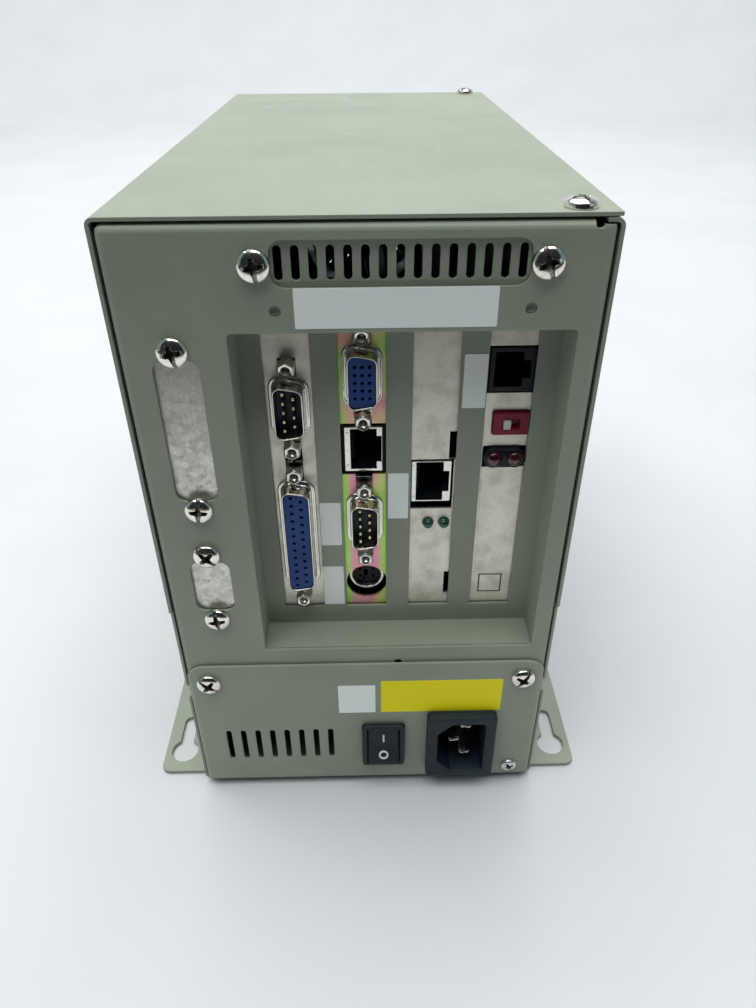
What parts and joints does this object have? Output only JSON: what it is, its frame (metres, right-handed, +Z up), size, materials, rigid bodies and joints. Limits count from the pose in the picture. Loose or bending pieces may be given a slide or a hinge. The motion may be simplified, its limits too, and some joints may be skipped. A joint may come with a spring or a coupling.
{
  "type": "card-cage computer",
  "caption": "Upright industrial controller in a folded sheet-metal case, with card slots behind a recessed front, a power bay below and keyhole ears at its base.",
  "frame": {"origin": "centre of the mounting plate on its underside", "axes": "+X to the right seen from the connector side, +Y from the connector side to the back, +Z up"},
  "size_m": [0.156, 0.249, 0.2052],
  "materials": {
    "painted_steel": "satin grey-green paint",
    "zinc_plate": "zinc-plated sheet",
    "nickel_plate": "bright nickel plate",
    "yellow_chromate": "yellow chromate over zinc",
    "black_plastic": "moulded",
    "blue_plastic": "moulded",
    "white_plastic": "moulded",
    "red_plastic": "moulded",
    "red_lens": "clear dark lens",
    "green_lens": "clear dark lens",
    "circuit_board": "coated glass-fibre board",
    "transformer": "laminated core and winding",
    "aluminium": "extruded",
    "black_anodised": "black anodised"
  },
  "bodies": {
    "case": {"backplane": "circuit_board", "base_tray": "painted_steel", "card_bracket_1": "zinc_plate", "card_bracket_2": "yellow_chromate", "card_bracket_3": "zinc_plate", "card_bracket_4": "zinc_plate", "card_clamp": "painted_steel", "card_shelf": "zinc_plate", "fan_frame": "black_plastic", "front_panel": "painted_steel", "ground_screw": "nickel_plate", "keyboard_jack": "black_plastic", "large_blank_screw_bottom": "nickel_plate", "large_blank_screw_top": "nickel_plate", "large_port_blank": "zinc_plate", "link_board": "circuit_board", "link_jack": "black_plastic", "link_lamps": "red_lens", "mains_inlet": "black_plastic", "mounting_plate": "painted_steel", "network_board": "circuit_board", "network_jack_1": "black_plastic", "network_jack_2": "black_plastic", "network_lamp_left": "green_lens", "network_lamp_right": "green_lens", "parallel_port": "blue_plastic", "power_board": "circuit_board", "power_capacitor": "black_plastic", "power_cover_plate": "painted_steel", "power_heat_sink": "aluminium", "power_plate_screw_left": "nickel_plate", "power_plate_screw_right": "nickel_plate", "power_switch": "black_plastic", "power_transformer": "transformer", "processor_board": "circuit_board", "processor_heat_sink": "black_anodised", "rear_panel": "painted_steel", "right_side_panel": "painted_steel", "serial_port_1": "nickel_plate", "serial_port_2": "nickel_plate", "slide_switch": "red_plastic", "slot_connector_1": "black_plastic", "slot_connector_2": "white_plastic", "slot_connector_3": "white_plastic", "slot_connector_4": "white_plastic", "slot_pocket": "painted_steel", "small_blank_screw_bottom": "nickel_plate", "small_blank_screw_top": "nickel_plate", "small_port_blank": "zinc_plate", "vent_screw_left": "nickel_plate", "vent_screw_right": "nickel_plate", "video_port": "blue_plastic"},
    "cover": {"cover": "painted_steel", "cover_screw_front": "nickel_plate", "cover_screw_rear": "nickel_plate"},
    "rocker": {"switch_rocker": "black_plastic"},
    "slider": {"slide_switch_slider": "white_plastic"},
    "fan": {"fan_rotor": "black_plastic"}
  },
  "joints": [
    {"name": "cover_lift", "type": "slide", "parent": "case", "child": "cover", "axis": [0, 0, 1], "range_m": [0, 0.125]},
    {"name": "rocker_tilt", "type": "hinge", "parent": "case", "child": "rocker", "pos_m": [0.0056, -0.1213, 0.0229], "axis": [1, 0, 0], "range_deg": [0, 16]},
    {"name": "slider_slide", "type": "slide", "parent": "case", "child": "slider", "axis": [1, 0, 0], "range_m": [0, 0.0024]},
    {"name": "fan_spin", "type": "hinge", "parent": "case", "child": "fan", "pos_m": [0, 0.1107, 0.1402], "axis": [0, 1, 0], "continuous": true}
  ]
}
